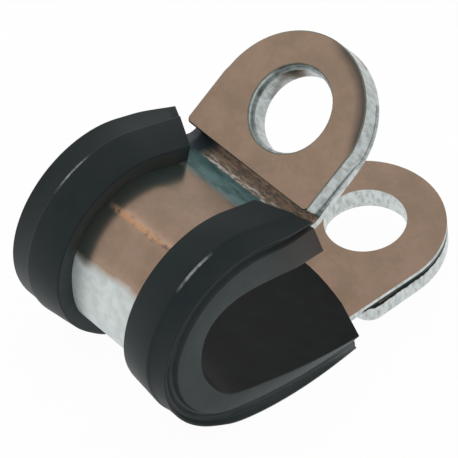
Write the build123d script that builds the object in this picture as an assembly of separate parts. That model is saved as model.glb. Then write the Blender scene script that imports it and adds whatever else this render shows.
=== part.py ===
from build123d import *
import math
import os

# Rubber-lined P clip for one M5 bolt, sprung open as supplied, sizes in millimetres.
# X runs across the clip, along the cable that it holds. Y runs from the loop to the ears. Z is up as it rests.
# The origin is on the loop's axis, at the middle of the clip's width.

# Strip: zinc-plated steel, one width and thickness from ear to ear
strip_width = 12.0
strip_thickness = 0.5

# Strip path along the face that the lining sits on, from the lower ear to the upper one
lining_bore_radius = 4.25
lining_base = 0.85
hole_to_heel = 6.3
heel_bend_radius = 5.7
heel_bend_angle = 6.4
lower_leg_radius = 37.0
lower_leg_angle = 19.0
loop_angle = 174.8
upper_leg_length = 5.35
neck_bend_radius = 1.6
neck_bend_angle = 52.0
neck_to_hole = 4.65
rest_tilt = 13.2

# Ears: each ends in a round tip about the bolt hole
bolt_hole_radius = 2.9
hole_to_tip = 5.4

# Stiffening plates, one on the outside of each ear, held by a collar drawn out of the strip
plate_thickness = 1.45
upper_plate_heel = 4.8
upper_plate_corner = 0.4
lower_plate_heel = 5.35
lower_plate_corner = 1.2
collar_wall = 0.2
collar_height = 0.5
collar_fit = 0.01
outer_edge_radius = 0.1
inner_edge_radius = 0.22

# Lining: one extruded rubber channel, a base inside the loop and two lips folded over the outside of the strip
lining_width = 15.8
lining_fit = 0.01
lip_thickness = 1.8
lip_gap = 6.8
shoulder_width = 12.3
shoulder_step = 0.12
shoulder_drop = 0.15
groove_depth = 0.4
groove_width = 0.75
groove_below_shoulder = 0.2

# Towards the lower end the side walls lean in, from this height upwards and to these widths over the lips
lean_root = 0.3
width_at_heel = 13.3
width_at_mid_leg = 14.85

# Cut ends of the lining, measured along the strip
lower_lip_gap = 1.6
lower_lip_slant = 2.1
lower_base_crown = 1.95
upper_lip_gap = 0.9
upper_lip_slant = 2.1
upper_base_lead = 1.55

# Sizes that follow from the ones above
loop_radius = lining_bore_radius + lining_base
stack = strip_thickness + plate_thickness
tip_radius = strip_width / 2
tip_centre = hole_to_tip - tip_radius
collar_radius = bolt_hole_radius + collar_wall
lip_top = strip_thickness + lip_thickness
profile_height = lining_base + lip_top
cutter_margin = 1.0  # how far a cutting block reaches past what it cuts


def heading(angle):
    """Unit vector in the side view, at this angle above +Y."""
    turn = math.radians(angle)
    return Vector(0, math.cos(turn), math.sin(turn))


def walk(start, angle, moves):
    """Lists what each run or turn needs: start, angle, turn centre and end on the inner face."""
    steps = []
    for length, radius, turn in moves:
        inward = heading(angle - 90)
        if turn == 0:
            end = start + heading(angle) * length
            steps.append((start, angle, None, end, 0))
        else:
            side = math.copysign(1, turn)
            centre = start + inward * radius * side
            end = centre - heading(angle - turn - 90) * radius * side
            steps.append((start, angle, centre, end, turn))
        start = end
        angle = angle - turn
    return steps


# Runs and turns of the strip as (length, radius, angle): a positive angle turns round the cable
ear_run = (hole_to_tip + hole_to_heel, 0, 0)
heel_turn = (0, heel_bend_radius, heel_bend_angle)
leg_turn = (0, lower_leg_radius, lower_leg_angle)
loop_turn = (0, loop_radius, loop_angle)
leg_run = (upper_leg_length, 0, 0)
neck_turn = (0, neck_bend_radius, -neck_bend_angle)
neck_run = (neck_to_hole + hole_to_tip, 0, 0)
strip_moves = [ear_run, heel_turn, leg_turn, loop_turn, leg_run, neck_turn, neck_run]

first_angle = 180 + rest_tilt
trial = walk(Vector(0, 0, 0), first_angle, strip_moves)
strip_start = Vector(0, 0, 0) - trial[3][2]
strip_steps = walk(strip_start, first_angle, strip_moves)


def offset_edges(steps, offset):
    """Side-view edges of a path at this distance outside the strip's inner face."""
    edges = []
    for start, angle, centre, end, turn in steps:
        first = start + heading(angle + 90) * offset
        last = end + heading(angle - turn + 90) * offset
        if centre is None:
            edges.append(Edge.make_line(first, last))
        else:
            ahead = heading(angle - turn / 2 + 90) * math.copysign(1, turn)
            radius = (first - centre).length
            edges.append(Edge.make_three_point_arc(first, centre + ahead * radius, last))
    return edges


def ear_place(step, along):
    """Plane on an ear's inner face: x across, y from the hole to the tip, z towards the outside."""
    start, angle, _, end, _ = step
    origin = start + heading(angle) * along
    outside = heading(angle + 90)
    return origin, outside


def ear_plane(origin, outside):
    return Plane(origin=origin, x_dir=(1, 0, 0), z_dir=outside)


lower_hole, lower_out = ear_place(strip_steps[0], hole_to_tip)
upper_hole, upper_out = ear_place(strip_steps[6], neck_to_hole)
lower_ear = ear_plane(lower_hole, lower_out)
upper_ear = ear_plane(upper_hole, upper_out)


def towards_tip(plane, tip_direction):
    """1 where the plane's y axis points to the ear's tip, otherwise -1."""
    return 1 if plane.y_dir.dot(tip_direction) > 0 else -1


lower_side = towards_tip(lower_ear, heading(rest_tilt))
upper_side = towards_tip(upper_ear, heading(strip_steps[6][1]))


def ear_outline(side, heel, corner):
    """Plan of an ear from its heel to its round tip, about the bolt hole."""
    length = heel + tip_centre
    body = Pos(0, side * (tip_centre - length / 2)) * Rectangle(strip_width, length)
    heel_corners = body.vertices().sort_by(Axis.Y)
    body = fillet(heel_corners[:2] if side > 0 else heel_corners[-2:], corner)
    tip_half = Pos(0, side * (tip_centre + tip_radius / 2)) * Rectangle(strip_width, tip_radius)
    return body + (tip_half & Pos(0, side * tip_centre) * Circle(tip_radius))


def make_plate(plane, side, heel, corner):
    """Stiffening plate pressed over the collar, its edges rounded more on the strip's side than outside."""
    blank = extrude(ear_outline(side, heel, corner), plate_thickness)
    blank = fillet(blank.faces().sort_by(Axis.Z)[0].edges(), inner_edge_radius)
    blank -= Cylinder(collar_radius + collar_fit, 2 * (plate_thickness + cutter_margin))
    blank = fillet(blank.faces().sort_by(Axis.Z)[-1].edges(), outer_edge_radius)
    return plane * Pos(0, 0, strip_thickness) * blank


def make_strip():
    """Formed strip with round ear tips, bolt holes and their collars."""
    inner = offset_edges(strip_steps, 0)
    outer = offset_edges(strip_steps, strip_thickness)
    tips = [Edge.make_line(inner[0] @ 0, outer[0] @ 0), Edge.make_line(inner[-1] @ 1, outer[-1] @ 1)]
    section = Face(Wire(inner + outer + tips))
    body = extrude(section, strip_width / 2, dir=(1, 0, 0), both=True)
    for plane, side in ((lower_ear, lower_side), (upper_ear, upper_side)):
        blank = Pos(0, side * (tip_centre + tip_radius)) * Rectangle(strip_width + cutter_margin, 2 * tip_radius)
        corners = blank - Pos(0, side * tip_centre) * Circle(tip_radius)
        body -= plane * Pos(0, 0, -cutter_margin) * extrude(corners, strip_thickness + 2 * cutter_margin)
        body += plane * Cylinder(collar_radius, strip_thickness + collar_height, align=(Align.CENTER, Align.CENTER, Align.MIN))
        body -= plane * Cylinder(bolt_hole_radius, 2 * (stack + cutter_margin))
    return body


def lining_profile(place):
    """Channel section: x across the clip, y out of the strip's inner face."""
    half = lining_width / 2
    edge = lip_top - shoulder_drop
    groove_top = edge - groove_below_shoulder
    groove_bottom = groove_top - groove_width
    slot = strip_width / 2 + lining_fit
    right = [
        (half, -lining_base),
        (half, groove_bottom),
        (half - groove_depth, (groove_bottom + groove_top) / 2),
        (half, groove_top),
        (half, edge),
        (shoulder_width / 2 + shoulder_step, lip_top - shoulder_step),
        (shoulder_width / 2, lip_top),
        (lip_gap / 2, lip_top),
        (lip_gap / 2, strip_thickness + lining_fit),
        (slot, strip_thickness + lining_fit),
        (slot, -lining_fit),
    ]
    left = [(-x, y) for x, y in reversed(right)]
    return place * make_face(Polyline(*right, *left, close=True))


def end_plane(corner, outward, outside):
    """Plane at a cut end of the lining: x across, y off the end, z out of the strip."""
    plane = Plane(origin=corner, x_dir=(1, 0, 0), z_dir=outside)
    return plane if plane.y_dir.dot(outward) > 0 else Plane(origin=corner, x_dir=(-1, 0, 0), z_dir=outside)


def lip_cutter(slant, bottom):
    """Wedge that trims both lips back towards the middle of the clip."""
    half = lining_width / 2
    slope = slant / (half - lip_gap / 2)
    outer = half + cutter_margin
    far = profile_height + slant
    outline = Polyline((0, -slope * half), (outer, slope * cutter_margin), (outer, far), (-outer, far), (-outer, slope * cutter_margin), close=True)
    return Pos(0, 0, bottom) * extrude(make_face(outline), 2 * profile_height)


def lead_cutter(lead):
    """Block beyond the slanted end of the channel, from the lips' corner to the base's corner."""
    top = lip_top + cutter_margin
    bottom = -lining_base - cutter_margin
    far = profile_height + lead
    overrun = cutter_margin * lead / profile_height
    outline = Polyline((-overrun, top), (far, top), (far, bottom), (lead + overrun, bottom), close=True)
    side = Plane.YZ * make_face(outline)
    return extrude(side, lining_width, both=True)


def crown_cutter(crown):
    """Block beyond the base's curved end, which reaches furthest at the middle."""
    half = lining_width / 2
    far = profile_height + crown
    rim = [Line((half, far), (-half, far)), Line((-half, far), (-half, 0)), Line((half, 0), (half, far))]
    curve = ThreePointArc((-half, 0), (0, crown), (half, 0))
    return Pos(0, 0, -2 * profile_height) * extrude(make_face(rim + [curve]), 4 * profile_height)


def lean_cutter():
    """Block beyond the plane that a side wall leans in to along the lower leg."""
    heel = strip_steps[1][3]
    angle = strip_steps[2][1]
    middle = walk(heel, angle, [(0, lower_leg_radius, lower_leg_angle / 2)])[0][3]
    root = heel + heading(angle + 90) * lean_root + Vector(lining_width / 2, 0, 0)
    near = heel + heading(angle + 90) * lip_top + Vector(width_at_heel / 2, 0, 0)
    far = middle + heading(angle - lower_leg_angle / 2 + 90) * lip_top + Vector(width_at_mid_leg / 2, 0, 0)
    outward = (near - root).cross(far - root)
    if outward.X < 0:
        outward = outward * -1
    wall = Plane(origin=near, x_dir=far - near, z_dir=outward)
    size = 2 * (lining_width + upper_leg_length)
    return wall * Box(size, size, lining_width, align=(Align.CENTER, Align.CENTER, Align.MIN))


def make_lining():
    """Channel run round the loop, then trimmed at both ends."""
    covered = upper_leg_length - upper_lip_gap + upper_base_lead
    lead_in = max(lower_base_crown - lower_lip_gap, 0) + cutter_margin
    moves = [(lead_in, 0, 0), heel_turn, leg_turn, loop_turn, (covered, 0, 0)]
    heel_start = strip_steps[0][3]
    lining_start = heel_start - heading(first_angle) * lead_in
    route = Wire(offset_edges(walk(lining_start, first_angle, moves), 0))
    place = Plane(origin=lining_start, x_dir=(-1, 0, 0), z_dir=heading(first_angle))
    body = sweep(lining_profile(place), path=route)

    lower_corner = heel_start + heading(first_angle) * lower_lip_gap
    lower_end = end_plane(lower_corner, heading(first_angle + 180), heading(first_angle + 90))
    body -= lower_end * crown_cutter(lower_base_crown)
    body -= lower_end * lip_cutter(lower_lip_slant, strip_thickness / 2)
    beyond_wall = lean_cutter()
    body -= beyond_wall
    body -= mirror(beyond_wall, about=Plane.YZ)

    leg_start, leg_angle, _, _, _ = strip_steps[4]
    upper_corner = leg_start + heading(leg_angle) * (upper_leg_length - upper_lip_gap)
    upper_end = end_plane(upper_corner, heading(leg_angle), heading(leg_angle + 90))
    body -= upper_end * lead_cutter(upper_base_lead)
    body -= upper_end * lip_cutter(upper_lip_slant, strip_thickness / 2)
    return body


strip = make_strip()
upper_plate = make_plate(upper_ear, upper_side, upper_plate_heel, upper_plate_corner)
lower_plate = make_plate(lower_ear, lower_side, lower_plate_heel, lower_plate_corner)
lining = make_lining()

os.makedirs("parts", exist_ok=True)
export_step(strip, "parts/steel_band.step")
export_step(upper_plate, "parts/upper_ear_plate.step")
export_step(lower_plate, "parts/lower_ear_plate.step")
export_step(lining, "parts/rubber_lining.step")
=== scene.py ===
import math

import bmesh
import bpy
from mathutils import Matrix, Vector


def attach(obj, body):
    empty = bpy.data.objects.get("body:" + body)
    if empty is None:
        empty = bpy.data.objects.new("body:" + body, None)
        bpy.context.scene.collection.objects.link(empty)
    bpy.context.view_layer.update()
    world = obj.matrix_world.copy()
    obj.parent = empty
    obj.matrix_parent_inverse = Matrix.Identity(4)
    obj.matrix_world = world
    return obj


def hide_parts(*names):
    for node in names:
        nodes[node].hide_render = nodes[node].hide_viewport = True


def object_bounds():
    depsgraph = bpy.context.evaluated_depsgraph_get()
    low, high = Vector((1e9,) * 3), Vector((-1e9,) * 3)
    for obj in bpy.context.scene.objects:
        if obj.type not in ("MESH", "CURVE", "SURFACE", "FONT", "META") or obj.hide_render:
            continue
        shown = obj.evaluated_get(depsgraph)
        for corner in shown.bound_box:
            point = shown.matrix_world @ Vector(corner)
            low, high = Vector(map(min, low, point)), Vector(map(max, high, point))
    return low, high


# Rubber-lined P clip, sprung open on a white table. Sizes are in millimetres until they go into a mesh.
# X runs across the clip, Y from the loop to the ears, Z up as it rests.

mm = 0.001


def linear(code):
    # sRGB hex to the linear values that a shader wants
    channels = [int(code[i:i + 2], 16) / 255 for i in (1, 3, 5)]
    return [c / 12.92 if c <= 0.04045 else ((c + 0.055) / 1.055) ** 2.4 for c in channels] + [1.0]


def addNode(tree, kind, settings):
    # A setting goes to the socket of that name or number, or else to the node itself. Where its value is
    # another node, that node's first shown output is linked, and stops are a colour ramp's.
    node = tree.nodes.new("ShaderNode" + kind)
    for key, value in settings.items():
        if isinstance(value, bpy.types.Node):
            value = next(output for output in value.outputs if output.enabled)
        if isinstance(value, bpy.types.NodeSocket):
            tree.links.new(value, node.inputs[key])
        elif key == "stops":
            for stop, (position, colour) in zip(node.color_ramp.elements, value):
                stop.position = position
                stop.color = linear(colour)
        elif isinstance(key, int) or key in node.inputs:
            node.inputs[key].default_value = value
        else:
            setattr(node, key, value)
    return node


def smooth(value, low, high):
    t = min(max((value - low) / (high - low), 0.0), 1.0)
    return t * t * (3 - 2 * t)


def between(table, t):
    # smooth reading of a list of (place, value) pairs, with no kink at the pairs
    last = len(table) - 1
    slopes = []
    for i in range(last + 1):
        (t0, v0), (t1, v1) = table[max(i - 1, 0)], table[min(i + 1, last)]
        slopes.append((v1 - v0) / (t1 - t0))
    for i in range(last):
        (t0, v0), (t1, v1) = table[i], table[i + 1]
        if t <= t1 or i == last - 1:
            gap = t1 - t0
            u = min(max((t - t0) / gap, 0), 1)
            rise = v0 * (1 + 2 * u) * (1 - u) ** 2 + v1 * u * u * (3 - 2 * u)
            return rise + gap * (slopes[i] * u * (1 - u) ** 2 + slopes[i + 1] * u * u * (u - 1))


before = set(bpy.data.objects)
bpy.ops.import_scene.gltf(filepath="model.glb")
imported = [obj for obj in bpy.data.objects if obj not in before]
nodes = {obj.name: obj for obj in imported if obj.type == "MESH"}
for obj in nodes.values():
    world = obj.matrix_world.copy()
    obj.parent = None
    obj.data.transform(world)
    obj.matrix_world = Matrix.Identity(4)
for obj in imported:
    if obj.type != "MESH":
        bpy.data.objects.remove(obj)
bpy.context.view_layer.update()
print("clip: frame loaded,", len(nodes), "solids")

# Path of the strip's inner face from the lower ear's heel, as (length, radius, angle) for each run or bend.
# A positive angle goes round the cable.
heelPlace = {"start": (11.749, -5.45), "angle": 193.2}
route = [(0, 5.7, 6.4), (0, 37.0, 19.0), (0, 5.1, 174.8), (5.35, 0, 0), (0, 1.6, -52.0)]
legAngle = -7.0


def heading(angle):
    return Vector((math.cos(math.radians(angle)), math.sin(math.radians(angle))))


def onPath(s, n):
    # side-view place (y, z) at a distance s along the strip from its heel and n out of its inner face
    place, angle = Vector(heelPlace["start"]), heelPlace["angle"]
    if s > 0:
        for length, radius, turn in route:
            reach = length if radius == 0 else radius * math.radians(abs(turn))
            step = min(s, reach)
            if radius == 0:
                place = place + heading(angle) * step
            else:
                side = math.copysign(1, turn)
                centre = place + heading(angle - 90) * radius * side
                angle -= math.degrees(step / radius) * side
                place = centre - heading(angle - 90) * radius * side
            s -= step
            if s <= 0:
                break
    return place + heading(angle) * s + heading(angle + 90) * n


# Bolt hole of each ear on its inner face, with the directions out of the ear and towards its tip
ears = {
    "upper": {
        "hole": Vector((0, 10.5461, 8.15473)),
        "out": Vector((0, -0.707107, 0.707107)),
        "tip": Vector((0, 0.707107, 0.707107)),
    },
    "lower": {
        "hole": Vector((0, 17.8825, -4.01104)),
        "out": Vector((0, 0.228351, -0.973579)),
        "tip": Vector((0, 0.973579, 0.228351)),
    },
}

# Finishes. Patterns are (size in mm, detail, roughness). A pair of numbers says where a mark is nothing and
# where it is full: in mm, in degrees round the loop, or as a level of its pattern.


def newMaterial(name):
    material = bpy.data.materials.new(name)
    material.use_nodes = True
    material.node_tree.nodes.clear()
    return material, material.node_tree


def surfacePlace(tree):
    # place on the piece's surface in mm
    coordinates = addNode(tree, "TexCoord", {}).outputs["Object"]
    return addNode(tree, "VectorMath", {"operation": "SCALE", 0: coordinates, "Scale": 1 / mm})


def pattern(place, size, detail=3.0, roughness=0.5):
    return {"Vector": place, "Scale": 1 / size, "Detail": detail, "Roughness": roughness}


def within(tree, limits):
    # share of the surface that is inside all the limits, each a value and its pair of numbers
    share = 1.0
    for value, (nothing, full) in limits:
        settings = {"Value": value, "From Min": nothing, "From Max": full, "To Max": share}
        share = addNode(tree, "MapRange", settings)
    return share


def painted(tree, colour, layers):
    # the colour under layers, each a share of the surface and the colour that the share has
    for share, over in layers:
        colour = addNode(tree, "Mix", {"data_type": "RGBA", 0: share, 6: colour, 7: over})
    return colour


def loopTurn(tree, y, z):
    # degrees about the clip's axis, with their jump from 360 to 0 on the side of the ears, out of the way
    minusY = addNode(tree, "Math", {"operation": "MULTIPLY", 0: y, 1: -1.0})
    minusZ = addNode(tree, "Math", {"operation": "MULTIPLY", 0: z, 1: -1.0})
    turn = addNode(tree, "Math", {"operation": "ARCTAN2", 0: minusZ, 1: minusY})
    return addNode(tree, "Math", {"operation": "MULTIPLY_ADD", 0: turn, 1: math.degrees(1), 2: 180.0})


# Zinc-plated mild steel, rolled face: dulled by chromate to a warm grey-brown, with faint clouds and specks
faceFinish = {
    "brown": [(0.5, "#957a65"), (0.77, "#a28471")],
    "clouds": (2.2, 5.0, 0.62),
    "fineClouds": (0.3,),
    "fineShare": 0.3,
    "speck": "#a8978a",
    "specks": (0.16, 2.0),
    "speckLevel": (0.7, 0.8),
    "grain": (0.14,),
    "grainDepth": 0.004,
    "grainStrength": 0.5,
    "roughness": 0.24,
    # the passivation film scatters a little blue-green light, seen where the face reflects something dark
    "haze": "#a8dcdc",
    "hazeWeight": 0.2,
    "hazeRoughness": 0.8,
    # round the back of the loop a painted reflection makes the face pale, from a ragged line at this angle
    "pale": [(0.3, "#ccd2d1"), (0.6, "#e0e4e2")],
    "paleReflectionClouds": (0.8, 4.0),
    "paleReflectionAngle": (158, 166),
    "paleReflectionEdge": (1.8, 2.0),
    "paleReflectionWobble": 11.46,
    "paleReflectionSlant": 0.6,
    "paleReflectionMetal": 0.45,
    "paleReflectionRoughness": 0.6,
    "loopEnd": (7.0, 5.0),
    # a ragged orange-brown painted highlight lies across the top of the loop
    "highlightStreak": [(0.38, "#74584a"), (0.56, "#c08a5e")],
    "highlightStreakClouds": (0.5, 3.0),
    "highlightStreakTint": -0.05,
    "highlightStreakAngle": 121.5,
    "highlightStreakWidth": (3.1, 1.033),
    "highlightStreakEdge": (0.35, 4.0, 0.7),
    "highlightStreakWobble": 4.584,
    "highlightStreakStart": (-3.6, -2.6),
    "highlightStreakGaps": (0.3, 4.0, 0.7),
    "highlightStreakLevel": (0.36, 0.5),
    "rustAndHighlightMetal": 0.25,
    # in the neck a painted dark teal reflection lies up to the bend, and the bend under the plate's heel is
    # rusty, with painted glints and painted purple shade
    "darkReflection": [(0.38, "#38504f"), (0.62, "#5f7d7e")],
    "darkReflectionClouds": (0.5, 3.0, 0.6),
    "darkReflectionMetal": 0.35,
    "neckRust": [(0.42, "#846f62"), (0.58, "#c6a085")],
    "glint": [(0.5, "#c4ae9a"), (0.64, "#f0ece4")],
    "farNeckShade": "#332d39",
    "neckStretch": (0.35, 1.0, 1.0),
    "neckGrain": (0.22, 3.0, 0.65),
    "neckWobble": 0.3,
    "neckPlace": (31.2, 0.5),
    "neckLow": (3.5, 3.6),
    "neckHigh": (5.95, 5.9),
    "darkReflectionStart": (-0.3, 0.4),
    "darkReflectionEnd": (3.95, 1.95),
    "bendStart": (1.95, 2.07),
    "bendEnd": (3.95, 3.75),
    "glintEnd": (2.75, 2.4),
    "glintLevel": (0.49, 0.56),
    "farNeckShadeFrom": (-3.3, -4.3),
    # painted shade darkens the rolled rim of the upper plate on one side of its round tip
    "rimShade": "#574840",
    "rimShadeCentre": (-0.6, 1.95),
    "rimShadeTowards": 42,
    "rimShadeReach": (3.9, 4.9),
    "rimShadeRing": (5.1, 5.8),
}


def zincFace():
    material, tree = newMaterial("zinc plated steel, rolled face")
    f = faceFinish
    place = surfacePlace(tree)
    x, y, z = addNode(tree, "SeparateXYZ", {"Vector": place}).outputs
    turn = loopTurn(tree, y, z)
    clouds = addNode(tree, "TexNoise", pattern(place, *f["clouds"]))
    fine = addNode(tree, "TexNoise", pattern(place, *f["fineClouds"]))
    clouds = addNode(tree, "Math", {"operation": "MULTIPLY_ADD", 0: fine, 1: f["fineShare"], 2: clouds})
    brown = addNode(tree, "ValToRGB", {"Fac": clouds, "stops": f["brown"]})
    specks = addNode(tree, "TexNoise", pattern(place, *f["specks"]))
    isSpeck = within(tree, [(specks, f["speckLevel"])])

    # painted reflection: the face turns pale round the back of the loop
    edge = addNode(tree, "TexNoise", pattern(place, *f["paleReflectionEdge"]))
    ragged = addNode(tree, "Math", {"operation": "MULTIPLY_ADD", 0: edge, 1: f["paleReflectionWobble"], 2: turn})
    ragged = addNode(tree, "Math", {"operation": "MULTIPLY_ADD", 0: x, 1: f["paleReflectionSlant"], 2: ragged})
    paleReflectionAngles = [angle + f["paleReflectionWobble"] / 2 for angle in f["paleReflectionAngle"]]
    isPaleReflection = within(tree, [(y, f["loopEnd"]), (ragged, paleReflectionAngles)])
    paleReflectionClouds = addNode(tree, "TexNoise", pattern(place, *f["paleReflectionClouds"]))
    pale = addNode(tree, "ValToRGB", {"Fac": paleReflectionClouds, "stops": f["pale"]})

    # painted highlight: a ragged orange-brown streak across the top of the loop
    edge = addNode(tree, "TexNoise", pattern(place, *f["highlightStreakEdge"]))
    ragged = addNode(tree, "Math", {"operation": "MULTIPLY_ADD", 0: edge, 1: f["highlightStreakWobble"], 2: turn})
    middle = f["highlightStreakAngle"] + f["highlightStreakWobble"] / 2
    away = addNode(tree, "Math", {"operation": "SUBTRACT", 0: ragged, 1: middle})
    away = addNode(tree, "Math", {"operation": "ABSOLUTE", 0: away})
    gaps = addNode(tree, "TexNoise", pattern(place, *f["highlightStreakGaps"]))
    onLine = [(away, f["highlightStreakWidth"]), (y, f["loopEnd"]), (x, f["highlightStreakStart"]), (gaps, f["highlightStreakLevel"])]
    isHighlightStreak = within(tree, onLine)
    highlightStreakClouds = addNode(tree, "TexNoise", pattern(place, *f["highlightStreakClouds"]))
    tint = addNode(tree, "Math", {"operation": "MULTIPLY_ADD", 0: x, 1: f["highlightStreakTint"], 2: highlightStreakClouds})
    highlightStreak = addNode(tree, "ValToRGB", {"Fac": tint, "stops": f["highlightStreak"]})

    leg = Vector((0, *heading(legAngle)))
    start = Vector((0, *onPath(*f["neckPlace"]))).dot(leg)
    stretched = addNode(tree, "Mapping", {"Vector": place, "Scale": f["neckStretch"]})
    grain = addNode(tree, "TexNoise", pattern(stretched, *f["neckGrain"]))
    along = addNode(tree, "VectorMath", {"operation": "DOT_PRODUCT", 0: place, 1: leg})
    along = addNode(tree, "Math", {"operation": "SUBTRACT", 0: along, 1: start})
    along = addNode(tree, "Math", {"operation": "MULTIPLY_ADD", 0: grain, 1: f["neckWobble"], 2: along})
    inNeck = [(z, f["neckLow"]), (z, f["neckHigh"])]
    # painted reflection: a dark teal zone in the neck, up to the rusty bend
    isDarkReflection = within(tree, inNeck + [(along, f["darkReflectionStart"]), (along, f["darkReflectionEnd"])])
    isBend = within(tree, inNeck + [(along, f["bendStart"]), (along, f["bendEnd"])])
    # painted glints in the bend's rust near the dark teal zone, and painted shade in purple on its far side
    isGlint = within(tree, [(grain, f["glintLevel"]), (along, f["glintEnd"])])
    isFarNeckShade = within(tree, [(x, f["farNeckShadeFrom"])])
    darkReflectionClouds = addNode(tree, "TexNoise", pattern(stretched, *f["darkReflectionClouds"]))
    darkReflection = addNode(tree, "ValToRGB", {"Fac": darkReflectionClouds, "stops": f["darkReflection"]})
    neckRust = addNode(tree, "ValToRGB", {"Fac": grain, "stops": f["neckRust"]})
    glint = addNode(tree, "ValToRGB", {"Fac": grain, "stops": f["glint"]})
    neckRust = painted(tree, neckRust, [(isGlint, glint), (isFarNeckShade, linear(f["farNeckShade"]))])

    # painted shade: a darker sector of the upper plate's rolled rim round its tip
    upper = ears["upper"]
    centre = upper["hole"] + upper["tip"] * f["rimShadeCentre"][0] + upper["out"] * f["rimShadeCentre"][1]
    sideways, forward = heading(90 - f["rimShadeTowards"])
    towards = Vector((sideways, 0, 0)) + upper["tip"] * forward
    fromCentre = addNode(tree, "VectorMath", {"operation": "DISTANCE", 0: place, 1: centre})
    reach = addNode(tree, "VectorMath", {"operation": "DOT_PRODUCT", 0: place, 1: towards})
    rimShadeReach = [centre.dot(towards) + distance for distance in f["rimShadeReach"]]
    isRimShade = within(tree, [(reach, rimShadeReach), (fromCentre, f["rimShadeRing"])])

    # specks and the bend's rust are the steel's own; the darker rim sector is painted shade, the pale back of
    # the loop and the dark teal neck are painted reflections, the streak across the loop is a painted
    # highlight, and the bend's rust carries painted glints and shade
    layers = [
        (isSpeck, linear(f["speck"])),
        (isRimShade, linear(f["rimShade"])),
        (isPaleReflection, pale),
        (isHighlightStreak, highlightStreak),
        (isDarkReflection, darkReflection),
        (isBend, neckRust),
    ]
    # less metallic where the rust, the painted highlight and the painted reflections lie
    metal = 1.0
    rustAndHighlight = addNode(tree, "Math", {"operation": "MAXIMUM", 0: isBend, 1: isHighlightStreak})
    for share, least in ((rustAndHighlight, f["rustAndHighlightMetal"]), (isPaleReflection, f["paleReflectionMetal"]), (isDarkReflection, f["darkReflectionMetal"])):
        here = addNode(tree, "MapRange", {"Value": share, "To Min": 1.0, "To Max": least})
        metal = addNode(tree, "Math", {"operation": "MULTIPLY", 0: metal, 1: here})
    rough = {"Value": isPaleReflection, "To Min": f["roughness"], "To Max": f["paleReflectionRoughness"]}
    height = addNode(tree, "TexNoise", pattern(place, *f["grain"]))
    depth = {"Strength": f["grainStrength"], "Distance": f["grainDepth"] * mm, "Height": height}
    shader = addNode(tree, "BsdfPrincipled", {
        "Base Color": painted(tree, brown, layers),
        "Metallic": metal,
        "Roughness": addNode(tree, "MapRange", rough),
        "Sheen Weight": f["hazeWeight"],
        "Sheen Roughness": f["hazeRoughness"],
        "Sheen Tint": linear(f["haze"]),
        "Normal": addNode(tree, "Bump", depth),
    })
    addNode(tree, "OutputMaterial", {"Surface": shader})
    return material


# The same plating on sheared and pressed edges: bright bluish zinc with shear lines through the thickness
edgeFinish = {
    "upper": [(0.55, "#8c9391"), (0.85, "#b7bebd")],
    "lower": [(0.55, "#9fa6a4"), (0.85, "#cad1d0")],
    "lines": (0.3, 4.0, 0.6),
    "lineStretch": 0.6,
    "patches": (0.9, 3.0),
    "patchShare": 0.5,
    "lineDepth": 0.008,
    "lineStrength": 0.5,
    "roughness": 0.28,
    # painted shade darkens the seam between the lower strip and its plate, with a ragged lower side
    "seamShade": "#1c2421",
    "seamShadeDepth": 0.33,
    "seamShadeUpper": (-0.06, -0.02),
    "seamShadeLower": (0.26, 0.18),
    "seamShadeEdge": (0.5, 3.0, 0.7),
    "seamShadeWobble": -0.4,
    "seamShadeBeyond": (4.2, 4.3),
    "seamShadeHeel": (-5.8, -5.4),
    # the rolled rim is plainer
    "rim": [(0.35, "#686a60"), (0.6, "#797b70")],
    "rimClouds": (0.6, 3.0),
}


def zincEdge(ear):
    material, tree = newMaterial("zinc plated steel, sheared edge of the " + ear + " ear")
    f = edgeFinish
    place = surfacePlace(tree)
    hole, out, tip = (ears[ear][key] for key in ("hole", "out", "tip"))
    depth = addNode(tree, "VectorMath", {"operation": "DOT_PRODUCT", 0: place, 1: out})
    back = addNode(tree, "Math", {"operation": "MULTIPLY", 0: depth, 1: -f["lineStretch"]})
    lined = addNode(tree, "VectorMath", {"operation": "MULTIPLY_ADD", 0: back, 1: out, 2: place})
    lines = addNode(tree, "TexNoise", pattern(lined, *f["lines"]))
    blotch = addNode(tree, "TexNoise", pattern(place, *f["patches"]))
    both = addNode(tree, "Math", {"operation": "MULTIPLY_ADD", 0: blotch, 1: f["patchShare"], 2: lines})
    colour = addNode(tree, "ValToRGB", {"Fac": both, "stops": f[ear]})
    if ear == "lower":
        # painted shade in the seam between the lower strip and its plate
        fromHole = addNode(tree, "VectorMath", {"operation": "DISTANCE", 0: place, 1: hole})
        along = addNode(tree, "VectorMath", {"operation": "DOT_PRODUCT", 0: place, 1: tip})
        edge = addNode(tree, "TexNoise", pattern(place, *f["seamShadeEdge"]))
        ragged = addNode(tree, "Math", {"operation": "MULTIPLY_ADD", 0: edge, 1: f["seamShadeWobble"], 2: depth})
        seamShade = hole.dot(out) + f["seamShadeDepth"]
        isSeamShade = within(tree, [
            (fromHole, f["seamShadeBeyond"]),
            (along, [hole.dot(tip) + distance for distance in f["seamShadeHeel"]]),
            (depth, [seamShade + distance for distance in f["seamShadeUpper"]]),
            (ragged, [seamShade + distance for distance in f["seamShadeLower"]]),
        ])
        colour = painted(tree, colour, [(isSeamShade, linear(f["seamShade"]))])
    bumps = {"Strength": f["lineStrength"], "Distance": f["lineDepth"] * mm, "Height": lines}
    shader = addNode(tree, "BsdfPrincipled", {
        "Base Color": colour,
        "Metallic": 1.0,
        "Roughness": f["roughness"],
        "Normal": addNode(tree, "Bump", bumps),
    })
    addNode(tree, "OutputMaterial", {"Surface": shader})
    return material


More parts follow.
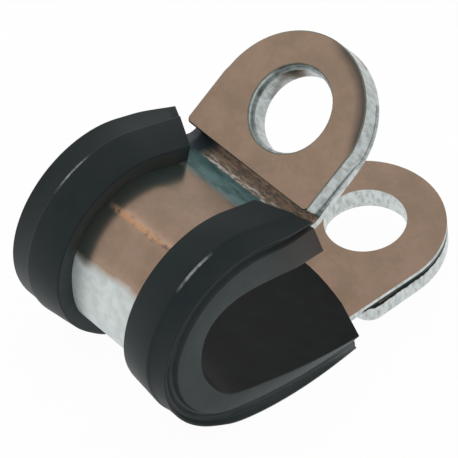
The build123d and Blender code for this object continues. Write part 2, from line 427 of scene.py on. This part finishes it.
def zincRim():
    material, tree = newMaterial("zinc plated steel, rolled rim")
    clouds = addNode(tree, "TexNoise", pattern(surfacePlace(tree), *edgeFinish["rimClouds"]))
    colour = addNode(tree, "ValToRGB", {"Fac": clouds, "stops": edgeFinish["rim"]})
    settings = {"Base Color": colour, "Metallic": 1.0, "Roughness": edgeFinish["roughness"]}
    addNode(tree, "OutputMaterial", {"Surface": addNode(tree, "BsdfPrincipled", settings)})
    return material


# Extruded EPDM rubber: near black, satin skin with a little dust
rubberFinish = {
    "skin": [(0.42, "#172123"), (0.85, "#202627")],
    # the bore's darker colour is painted shade
    "bore": [(0.42, "#06090a"), (0.85, "#151a1b")],
    # the side walls' and lip edges' lighter colour is painted light
    "side": [(0.42, "#2c3536"), (0.85, "#3b3f3e")],
    "dust": (1.6, 5.0, 0.65),
    "roughness": 0.5,
    "specular": 0.2,
    "grain": (0.1,),
    "grainDepth": 0.004,
    "grainStrength": 0.4,
    # over part of the loop a pale painted highlight lies on the ridge, most of all in the middle
    "ridgeHighlight": "#9ba19f",
    "ridgeHighlightStart": (110, 120),
    "ridgeHighlightEnd": (138, 127),
    "ridgeHighlightGrain": (0.25, 4.0, 0.7),
    "ridgeHighlightLevel": (0.3, 0.62),
    # the walls turn brownish towards the upper cut end
    "endBrown": "#281c13",
    "brownWall": (6.6, 7.0),
    "brownForward": (0.0, 6.5),
    "brownUp": (2.0, 4.0),
}


def rubberSkin(name, colours, hasRidgeHighlight=False, isSide=False):
    material, tree = newMaterial(name)
    f = rubberFinish
    place = surfacePlace(tree)
    x, y, z = addNode(tree, "SeparateXYZ", {"Vector": place}).outputs
    dust = addNode(tree, "TexNoise", pattern(place, *f["dust"]))
    colour = addNode(tree, "ValToRGB", {"Fac": dust, "stops": f[colours]})
    # painted highlight: a pale line on the ridge over part of the loop
    if hasRidgeHighlight:
        turn = loopTurn(tree, y, z)
        fine = addNode(tree, "TexNoise", pattern(place, *f["ridgeHighlightGrain"]))
        highlighted = [(turn, f["ridgeHighlightStart"]), (turn, f["ridgeHighlightEnd"]), (fine, f["ridgeHighlightLevel"])]
        colour = painted(tree, colour, [(within(tree, highlighted), linear(f["ridgeHighlight"]))])
    if isSide:
        sideways = addNode(tree, "Math", {"operation": "ABSOLUTE", 0: x})
        nearEnd = [(sideways, f["brownWall"]), (y, f["brownForward"]), (z, f["brownUp"])]
        colour = painted(tree, colour, [(within(tree, nearEnd), linear(f["endBrown"]))])
    height = addNode(tree, "TexNoise", pattern(place, *f["grain"]))
    depth = {"Strength": f["grainStrength"], "Distance": f["grainDepth"] * mm, "Height": height}
    shader = addNode(tree, "BsdfPrincipled", {
        "Base Color": colour,
        "Roughness": f["roughness"],
        "Specular IOR Level": f["specular"],
        "Normal": addNode(tree, "Bump", depth),
    })
    addNode(tree, "OutputMaterial", {"Surface": shader})
    return material


steelMaterials = [zincFace(), zincEdge("upper"), zincEdge("lower"), zincRim()]
# the ridge's pale line is a painted highlight, the bore's darker colour is painted shade, and the lighter
# side walls and lip edges are painted light
rubberMaterials = [
    rubberSkin("EPDM rubber, extruded skin", "skin"),
    rubberSkin("EPDM rubber, ridge of the lips with a painted highlight", "skin", hasRidgeHighlight=True),
    rubberSkin("EPDM rubber, bore darkened by painted shade", "bore"),
    rubberSkin("EPDM rubber, chalky side walls and lip edges", "side", isSide=True),
]
print("clip: finishes ready")


def makeObject(name, bm, materials, sharpAngle):
    mesh = bpy.data.meshes.new(name)
    bm.to_mesh(mesh)
    bm.free()
    piece = bpy.data.objects.new(name, mesh)
    bpy.context.scene.collection.objects.link(piece)
    for material in materials:
        mesh.materials.append(material)
    for polygon in mesh.polygons:
        polygon.use_smooth = True
    mesh.set_sharp_from_angle(angle=math.radians(sharpAngle))
    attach(piece, "root")
    return piece


# Steel pieces: the solids, with the strip's sheared corners rounded over. Places on an ear are measured from
# its bolt hole: reach all round it, along towards the tip, and deep outwards from the inner face.

steel = {
    "thickness": 0.5,
    "flush": 0.05,
    "mergeWithin": 0.002,
    "cutWithin": 0.001,
    "flatWithin": 0.5,
    "sharpAngle": 35,
    # outline and bolt hole of an ear
    "earReach": 8.5,
    "earDeep": (-0.3, 2.3),
    "outlineFrom": -4.8,
    "outlineReach": 9,
    "tipFrom": -1.2,
    "holeReach": 3.3,
    "collarReach": 3.0,
    "collarOuter": 0.4,
    "collarFrom": 0.8,
    "collarRaise": 0.4,
    # rounding of the sheared corners
    "rimRadius": 0.15,
    "wideRim": 0.28,
    "rimSegments": 3,
    "rimAngle": 50,
    "rolledDepth": 0.17,
    # faces with the edge or rim finish, by how steep they are
    "steep": 0.8,
    "sideways": 0.6,
    "ledgeGap": 0.06,
    "ledgeFrom": -4.0,
    "plateRim": 1.8,
    "plateRimSlope": (0.3, 0.99),
    "stripRim": (-0.05, 0.3),
    "stripRimSlope": (0.4, 0.995),
    # unevenness of the formed strip, low on the back of the loop
    "loopReach": 8,
    "bulge": 0.44,
    "bulgeAngle": 219,
    "bulgeReach": 22,
    "bulgeHalf": (3.5, 4.4),
    # and on the far side of the neck, above this height
    "upperFrom": 3.5,
    "neckWider": 0.15,
    "neckHalf": 5.5,
    "neckAlong": (4.5, 7.2),
    # and beside the upper ear and the lower ear's heel
    "nearSide": 5,
    "earNarrower": 0.14,
    "earAlong": (-4.6, -0.9),
    "earGap": 0.7,
    "heelNarrower": 0.18,
    "heelAlong": (-11, -9, -6.2, -4.5),
    "heelGap": 1.2,
    # the lower ear is a little larger round its tip
    "tipLarger": 0.09,
    "tipReach": 4.5,
    "tipFade": (-4.0, -1.0),
    # the pressed upper plate sits a little to one side of the strip below its round tip
    "plateShift": 0.22,
    "shiftAcross": (4.0, 5.6),
    "shiftAlong": (-0.9, -0.4),
    "plateUnder": 0.73,
}


def onEar(place, ear):
    # across, along, deep and reach of a place in mm
    hole, out, tip = (ears[ear][key] for key in ("hole", "out", "tip"))
    along = (place - hole).dot(tip)
    return place.x, along, (place - hole).dot(out), math.hypot(place.x, along)


def isEdge(place, normal, ear, isPlate):
    s = steel
    across, along, deep, reach = onEar(place, ear)
    isSteep = abs(normal.dot(ears[ear]["out"])) < s["steep"]
    if isPlate:
        return isSteep
    inHole = reach < s["holeReach"]
    onLedge = ear == "upper" and abs(deep - s["thickness"]) < s["ledgeGap"] and along > s["ledgeFrom"]
    if onLedge or (inHole and deep > s["collarFrom"]):
        return True
    nearEar = reach < s["earReach"] and s["earDeep"][0] < deep < s["earDeep"][1]
    if nearEar and (inHole or along > s["tipFrom"]):
        return isSteep and (inHole or deep > s["rolledDepth"])
    return abs(normal.x) > s["sideways"]


def isRim(place, normal, ear, isPlate):
    s = steel
    across, along, deep, reach = onEar(place, ear)
    slope = abs(normal.dot(ears[ear]["out"]))
    if isPlate:
        return deep > s["plateRim"] and s["plateRimSlope"][0] < slope < s["plateRimSlope"][1]
    onOutline = ear == "lower" and reach < s["earReach"] and along > s["outlineFrom"]
    isRolled = s["stripRim"][0] < deep < s["stripRim"][1]
    return onOutline and isRolled and s["stripRimSlope"][0] < slope < s["stripRimSlope"][1]


def middleOf(edge):
    return (edge.verts[0].co + edge.verts[1].co) / 2 / mm


def isUnderPlate(edge):
    # corners of the strip that meet a plate: the rim under the upper one and the outer corner of both collars
    s = steel
    place = middleOf(edge)
    across, along, deep, reach = onEar(place, "upper" if place.z > 0 else "lower")
    onOutline = along > s["outlineFrom"] and reach < s["outlineReach"]
    onRim = place.z > 0 and abs(deep - s["thickness"]) < s["flush"] and onOutline
    return onRim or (s["collarReach"] < reach < s["holeReach"] and deep > s["collarOuter"])


def isLowerRim(edge):
    # outline and hole of the lower ear on the strip's inner face
    place = middleOf(edge)
    across, along, deep, reach = onEar(place, "lower")
    onOutline = along > steel["outlineFrom"] and reach < steel["outlineReach"]
    return place.z < 0 and abs(deep) < steel["flush"] and onOutline


def settle(v):
    s = steel
    x, y, z = v.co / mm
    across, along, deep, reach = onEar(v.co / mm, "upper")
    if y < 0 and math.hypot(y, z) < s["loopReach"]:
        turned = math.degrees(math.atan2(z, y)) % 360
        share = math.exp(-((turned - s["bulgeAngle"]) / s["bulgeReach"]) ** 2)
        share *= 1 - smooth(abs(x), *s["bulgeHalf"])
        v.co += Vector((0, y, z)).normalized() * s["bulge"] * share * mm
    if z > s["upperFrom"] and s["neckAlong"][0] < y < s["neckAlong"][1] and x < -s["neckHalf"]:
        v.co.x -= s["neckWider"] * mm
    isBeside = s["earAlong"][0] < along < s["earAlong"][1] and abs(deep) < s["earGap"]
    if z > s["upperFrom"] and x > s["nearSide"] and isBeside:
        v.co.x -= s["earNarrower"] * mm
    across, along, deep, reach = onEar(v.co / mm, "lower")
    start, full, fading, end = s["heelAlong"]
    if z < 0 and x > s["nearSide"] and start < along < end and abs(deep) < s["heelGap"]:
        v.co.x -= s["heelNarrower"] * smooth(along, start, full) * (1 - smooth(along, fading, end)) * mm


def growTip(v):
    # the outline of the lower ear round its tip moves out from the bolt hole
    across, along, deep, reach = onEar(v.co / mm, "lower")
    low, high = steel["tipFade"]
    if v.co.z < 0 and along > low and steel["tipReach"] < reach < steel["outlineReach"]:
        outward = Vector((across, 0, 0)) + ears["lower"]["tip"] * along
        v.co += outward.normalized() * steel["tipLarger"] * smooth(along, low, high) * mm


def roundCorners(bm):
    s = steel
    sharp = math.radians(s["rimAngle"])
    corners = [e for e in bm.edges if len(e.link_faces) == 2 and e.calc_face_angle(0) > sharp]
    corners = [e for e in corners if not isUnderPlate(e)]
    wide = [e for e in corners if isLowerRim(e)]
    narrow = [e for e in corners if not isLowerRim(e)]
    for edges, radius in ((wide, s["wideRim"]), (narrow, s["rimRadius"])):
        edges = [e for e in edges if e.is_valid]
        bmesh.ops.bevel(bm, geom=edges, offset=radius * mm, offset_type="OFFSET", segments=s["rimSegments"],
                        profile=0.5, affect="EDGES", material=-1, clamp_overlap=True)


def steelPiece(name, node, plateEar=None):
    s = steel
    bm = bmesh.new()
    bm.from_mesh(nodes[node].data)
    bmesh.ops.remove_doubles(bm, verts=bm.verts, dist=s["mergeWithin"] * mm)
    flat = math.radians(s["flatWithin"])
    bmesh.ops.dissolve_limit(bm, angle_limit=flat, verts=bm.verts, edges=bm.edges)
    if plateEar is None:
        roundCorners(bm)
        for half in s["bulgeHalf"]:
            for x in (-half, half):
                everything = bm.verts[:] + bm.edges[:] + bm.faces[:]
                bmesh.ops.bisect_plane(bm, geom=everything, dist=s["cutWithin"] * mm, plane_co=(x * mm, 0, 0),
                                       plane_no=(1, 0, 0))
        for v in bm.verts:
            ear = "upper" if v.co.z > 0 else "lower"
            across, along, deep, reach = onEar(v.co / mm, ear)
            if reach < s["holeReach"] and deep > s["collarFrom"]:
                v.co += ears[ear]["out"] * s["collarRaise"] * mm
            settle(v)
            growTip(v)
    for face in bm.faces:
        place = face.calc_center_median() / mm
        ear = plateEar or ("upper" if place.z > 0 else "lower")
        if isRim(place, face.normal, ear, plateEar):
            face.material_index = 3
        elif isEdge(place, face.normal, ear, plateEar):
            face.material_index = 1 if ear == "upper" else 2
        else:
            face.material_index = 0
    if plateEar == "upper":
        for v in bm.verts:
            across, along, deep, reach = onEar(v.co / mm, plateEar)
            share = smooth(abs(across), *s["shiftAcross"]) * (1 - smooth(along, *s["shiftAlong"]))
            v.co.x -= s["plateShift"] * share * mm
            if s["thickness"] < deep < s["plateUnder"]:
                v.co -= ears[plateEar]["out"] * (deep - s["thickness"]) * mm
    if plateEar == "lower":
        for v in bm.verts:
            growTip(v)
    piece = makeObject(name, bm, steelMaterials, s["sharpAngle"])
    flatter = piece.modifiers.new("flat faces stay flat", "WEIGHTED_NORMAL")
    flatter.keep_sharp = True
    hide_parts(node)


steelPiece("formedStrip", "steel_band")
steelPiece("upperStiffener", "upper_ear_plate", "upper")
steelPiece("lowerStiffener", "lower_ear_plate", "lower")
print("clip: strip and stiffening plates made")

# Rubber channel: its section is spun out flat along the strip, shaped, then bent round the path. In the
# section, x is across the strip and n is out from its inner face.

channel = {
    "half": 7.9,
    "base": -0.85,
    "slotHalf": 6.01,
    "slotLow": -0.01,
    "slotHigh": 0.51,
    "grooveLow": 1.1,
    "grooveTop": 2.02,
    "grooveDepth": 0.4,
    "grooveSlopes": (0.14, 0.12),
    "ridge": 0.12,
    "ridgeHalf": 0.1,
    "edge": 2.18,
    "shoulder": 6.35,
    "shoulderDrop": 0.13,
    "crest": 6.15,
    "lipTop": 2.3,
    "lipInner": 3.38,
    "lipInnerTop": 1.97,
    "lipFoot": 3.75,
    "rings": 170,
    "middlePoints": 5,
    "roundSegments": 4,
    "sharpAngle": 40,
    # the groove is shallower at the lower end
    "grooveFade": 0.75,
    "grooveFadeTo": 0.1,
    # places of the two cut ends along the strip, and how they crown, lean and slant
    "lowerCorner": 1.69,
    "lowerCrown": 2.07,
    "lowerLean": 0.38,
    "lowerSlant": 0.45,
    "upperCorner": 32.55,
    "upperLean": 0.28,
    "upperSlant": 0.47,
    "upperSkew": 0.055,
    # which faces are bore, wall, lip edge and the ridge with its painted highlight
    "boreWithin": 0.01,
    "wallWithin": 0.05,
    "lipEdgeDrop": 0.1,
    "ridgeWithin": 0.1,
    "ridgeDrop": 0.06,
    "touch": 0.001,
    # along the channel from its lower end (0) to its upper end (1): half widths at the base and the lips, how
    # much wider the far side is, the lip's inner edge, the lip's height, the groove's lower side, the bore
    "baseHalves": [(0, 8.15), (0.35, 8.15), (0.47, 7.95), (0.6, 7.85), (0.9, 7.85), (1, 7.3)],
    "lipHalves": [(0, 6.6), (0.16, 7.28), (0.32, 7.8), (0.42, 7.88), (0.5, 7.8), (0.9, 7.8), (1, 7.3)],
    "farWider": [(0, 0.0), (0.5, 0.02), (0.6, 0.06), (0.9, 0.07), (1, 0.04)],
    "lipInners": [(0, 3.2), (0.35, 3.36), (0.45, 3.24), (0.52, 3.24), (0.6, 3.34), (0.9, 3.4), (1, 3.3)],
    "lipRises": [(0, 0.12), (0.2, 0.2), (0.3, 0.2), (0.36, 0.14), (0.41, -0.1), (0.5, -0.08), (0.58, 0.02),
                 (0.7, 0.05), (0.85, 0.07), (1, 0.0)],
    "grooveLows": [(0, 0.6), (0.3, 0.75), (0.45, 1.05), (0.8, 1.15), (1, 1.6)],
    "boreShifts": [(0, 0.13), (0.25, 0.13), (0.36, 0.24), (0.45, -0.03), (0.56, -0.02), (0.65, 0.13),
                   (0.75, -0.2), (0.8, -0.28), (0.88, -0.05), (1, 0)],
}


def channelSection():
    # (x, n, corner rounding) round the section, with more points across the middle, where the ends are curved
    c = channel
    half, groove = c["half"], c["half"] - c["grooveDepth"]
    middle = (c["grooveLow"] + c["grooveTop"]) / 2
    right = [
        (half, c["base"], 0.12),
        (half, c["grooveLow"], 0.05),
        (groove, c["grooveLow"] + c["grooveSlopes"][0], 0.04),
        (groove, middle - c["ridgeHalf"], 0.0),
        (groove + c["ridge"], middle, 0.03),
        (groove, middle + c["ridgeHalf"], 0.0),
        (groove, c["grooveTop"] - c["grooveSlopes"][1], 0.04),
        (half, c["grooveTop"], 0.0),
        (half, c["edge"], 0.07),
        (c["shoulder"], c["lipTop"] - c["shoulderDrop"], 0.0),
        (c["crest"], c["lipTop"], 0.13),
        (c["lipInner"], c["lipInnerTop"], 0.16),
        (c["lipFoot"], c["slotHigh"], 0.0),
        (c["slotHalf"], c["slotHigh"], 0.0),
        (c["slotHalf"], c["slotLow"], 0.0),
    ]
    left = [(-x, n, rounding) for x, n, rounding in reversed(right)]
    across = range(-c["middlePoints"], c["middlePoints"] + 1)
    slotFloor = [(-x, c["slotLow"], 0.0) for x in across]
    bore = [(x, c["base"], 0.0) for x in across]
    return right + slotFloor + left + bore


def channelEnds(x, n, wall, isLip):
    # where the cut ends are, along the strip, for a point of the section
    c = channel
    wide = min(abs(x) / wall, 1) ** 2
    back = (wall - min(abs(x), wall)) * isLip
    lower = c["lowerCorner"] - c["lowerCrown"] * (1 - wide) * (1 - isLip)
    lower += c["lowerSlant"] * back - c["lowerLean"] * (n - c["base"]) * wide
    upper = c["upperCorner"] + c["upperLean"] * (1 + x / wall) * (c["edge"] - n)
    upper += c["upperSkew"] * (wall - x) - c["upperSlant"] * back
    return lower, upper


def wallFinish(place):
    # material number of a side of the channel, by the place of its middle
    c = channel
    wide, n = abs(place.x), place.z
    if n < c["base"] + c["boreWithin"]:
        return 2
    onWall = wide > c["half"] - c["grooveDepth"] - c["wallWithin"] and n < c["grooveTop"]
    onLipEdge = wide < c["lipFoot"] and c["slotHigh"] < n < c["lipInnerTop"] - c["lipEdgeDrop"]
    if onWall or onLipEdge:
        return 3
    onRidge = abs(wide - c["crest"]) < c["ridgeWithin"] and n > c["lipTop"] - c["ridgeDrop"]
    return 1 if onRidge else 0


def rubberChannel():
    c = channel
    half, groove, touch = c["half"], c["half"] - c["grooveDepth"], c["touch"]
    low, top, base, slot = c["grooveLow"], c["grooveTop"], c["base"], c["slotHalf"]
    bm = bmesh.new()
    corners = [(bm.verts.new((x, 0, n)), rounding) for x, n, rounding in channelSection()]
    bm.faces.new([v for v, rounding in corners])
    for radius in sorted({rounding for v, rounding in corners if rounding > 0}):
        alike = [v for v, rounding in corners if rounding == radius and v.is_valid]
        bmesh.ops.bevel(bm, geom=alike, offset=radius, offset_type="OFFSET", segments=c["roundSegments"],
                        profile=0.5, affect="VERTICES", material=-1)
    bm.normal_update()
    bmesh.ops.triangulate(bm, faces=bm.faces[:])
    bmesh.ops.spin(bm, geom=bm.faces[:], cent=(0, 0, 0), axis=(0, 1, 0), dvec=(0, 1, 0), angle=0,
                   steps=c["rings"], use_merge=False)
    for face in bm.faces:
        isCutEnd = len(face.verts) == 3
        face.material_index = 0 if isCutEnd else wallFinish(face.calc_center_median())
    for v in bm.verts:
        x, t, n = v.co.x, v.co.y / c["rings"], v.co.z
        side, wide = math.copysign(1, x), abs(x)
        if low < n < top and wide > groove - touch:
            wide += (half - wide) * c["grooveFade"] * (1 - smooth(t, 0, c["grooveFadeTo"]))
        depth = (n - base) / (c["lipTop"] - base)
        wall = between(c["baseHalves"], t) * (1 - depth) + between(c["lipHalves"], t) * depth
        if x < 0:
            wall += between(c["farWider"], t)
        if wide > slot + touch:
            wide = slot + (wide - slot) / (half - slot) * (wall - slot)
            lowHere = between(c["grooveLows"], t)
            if base < n <= low:
                n = base + (n - base) * (lowHere - base) / (low - base)
            elif low < n < top:
                n = lowHere + (n - low) * (top - lowHere) / (top - low)
        elif n > c["slotHigh"] - touch and wide < slot - touch:
            share = (slot - wide) / (slot - c["lipInner"])
            wide = slot - share * (slot - between(c["lipInners"], t))
        lower, upper = channelEnds(side * wide, n, wall, smooth(n, 0, c["slotHigh"]))
        if n < 0:
            n += between(c["boreShifts"], t) * n / base
        elif n > c["slotHigh"]:
            n += between(c["lipRises"], t) * (n - c["slotHigh"]) / (c["lipTop"] - c["slotHigh"])
        y, z = onPath(lower + (upper - lower) * t, n)
        v.co = Vector((side * wide, y, z)) * mm
    bmesh.ops.recalc_face_normals(bm, faces=bm.faces)
    piece = makeObject("rubberChannel", bm, rubberMaterials, c["sharpAngle"])
    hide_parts("rubber_lining")


rubberChannel()
print("clip: rubber channel made")

# Table: white card that shows as white, and under the clip keeps a share of its shadow

table = {"size": 4000, "colour": "#ffffff", "shadowShare": 0.035}


def makeTable():
    bm = bmesh.new()
    bmesh.ops.create_grid(bm, x_segments=1, y_segments=1, size=table["size"] * mm / 2)
    bmesh.ops.translate(bm, verts=bm.verts, vec=(0, 0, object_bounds()[0][2]))
    mesh = bpy.data.meshes.new("tableTop")
    bm.to_mesh(mesh)
    bm.free()
    floor = bpy.data.objects.new("tableTop", mesh)
    bpy.context.scene.collection.objects.link(floor)
    material, tree = newMaterial("white card")
    rays = addNode(tree, "LightPath", {}).outputs
    seen = rays["Is Camera Ray"]
    for kind in ("Is Glossy Ray", "Is Transmission Ray"):
        seen = addNode(tree, "Math", {"operation": "MAXIMUM", 0: seen, 1: rays[kind]})
    share = addNode(tree, "Math", {"operation": "MULTIPLY", 0: seen, 1: 1 - table["shadowShare"]})
    card = addNode(tree, "BsdfDiffuse", {"Color": linear(table["colour"])})
    glow = addNode(tree, "Emission", {"Strength": 1.0})
    mix = addNode(tree, "MixShader", {"Fac": share, 1: card, 2: glow})
    addNode(tree, "OutputMaterial", {"Surface": mix})
    mesh.materials.append(material)
    material.cycles.emission_sampling = "NONE"


# Light: an even pale room and one long soft strip over the loop

room = {"level": 0.8}
keyStrip = {"towards": (-0.553, -0.267, 0.789), "distance": 220, "size": (200, 24), "watts": 0.012}


def makeRoom():
    world = bpy.data.worlds.new("pale room")
    bpy.context.scene.world = world
    world.use_nodes = True
    world.cycles.sampling_method = "NONE"
    world.node_tree.nodes.clear()
    grey = [room["level"]] * 3 + [1.0]
    light = addNode(world.node_tree, "Background", {"Color": grey, "Strength": 1.0})
    addNode(world.node_tree, "OutputWorld", {"Surface": light})


def makeLamp():
    data = bpy.data.lights.new("keyStrip", "AREA")
    data.shape = "RECTANGLE"
    data.size, data.size_y = (side * mm for side in keyStrip["size"])
    data.energy = keyStrip["watts"]
    lamp = bpy.data.objects.new("keyStrip", data)
    direction = Vector(keyStrip["towards"]).normalized()
    across = (Vector((1, 0, 0)) - direction * direction.x).normalized()
    turn = Matrix((across, direction.cross(across), direction)).transposed()
    lamp.location = direction * keyStrip["distance"] * mm
    lamp.rotation_mode = "QUATERNION"
    lamp.rotation_quaternion = turn.to_quaternion()
    bpy.context.scene.collection.objects.link(lamp)


# Long lens from the front left, looking down at about 39 degrees
camera = {
    "place": (147.799, -142.186, 168.815),
    "right": (0.65287, 0.75277, 0.0843),
    "up": (-0.51784, 0.36233, 0.77495),
    "back": (0.55281, -0.5496, 0.62637),
    "focalPixels": 4017.743,
    "imagePixels": 458,
    "sensor": 36.0,
    "clip": (0.01, 10),
}


def makeCamera():
    data = bpy.data.cameras.new("photoCamera")
    data.sensor_width = camera["sensor"]
    data.lens = camera["focalPixels"] / camera["imagePixels"] * camera["sensor"]
    data.clip_start, data.clip_end = camera["clip"]
    view = bpy.data.objects.new("photoCamera", data)
    turn = Matrix((camera["right"], camera["up"], camera["back"])).transposed()
    view.rotation_mode = "QUATERNION"
    view.rotation_quaternion = turn.to_quaternion()
    view.location = Vector(camera["place"]) * mm
    bpy.context.scene.collection.objects.link(view)
    bpy.context.scene.camera = view


makeTable()
makeRoom()
makeLamp()
makeCamera()
bpy.context.scene.view_settings.view_transform = "Standard"
print("clip: table, lights and camera set")
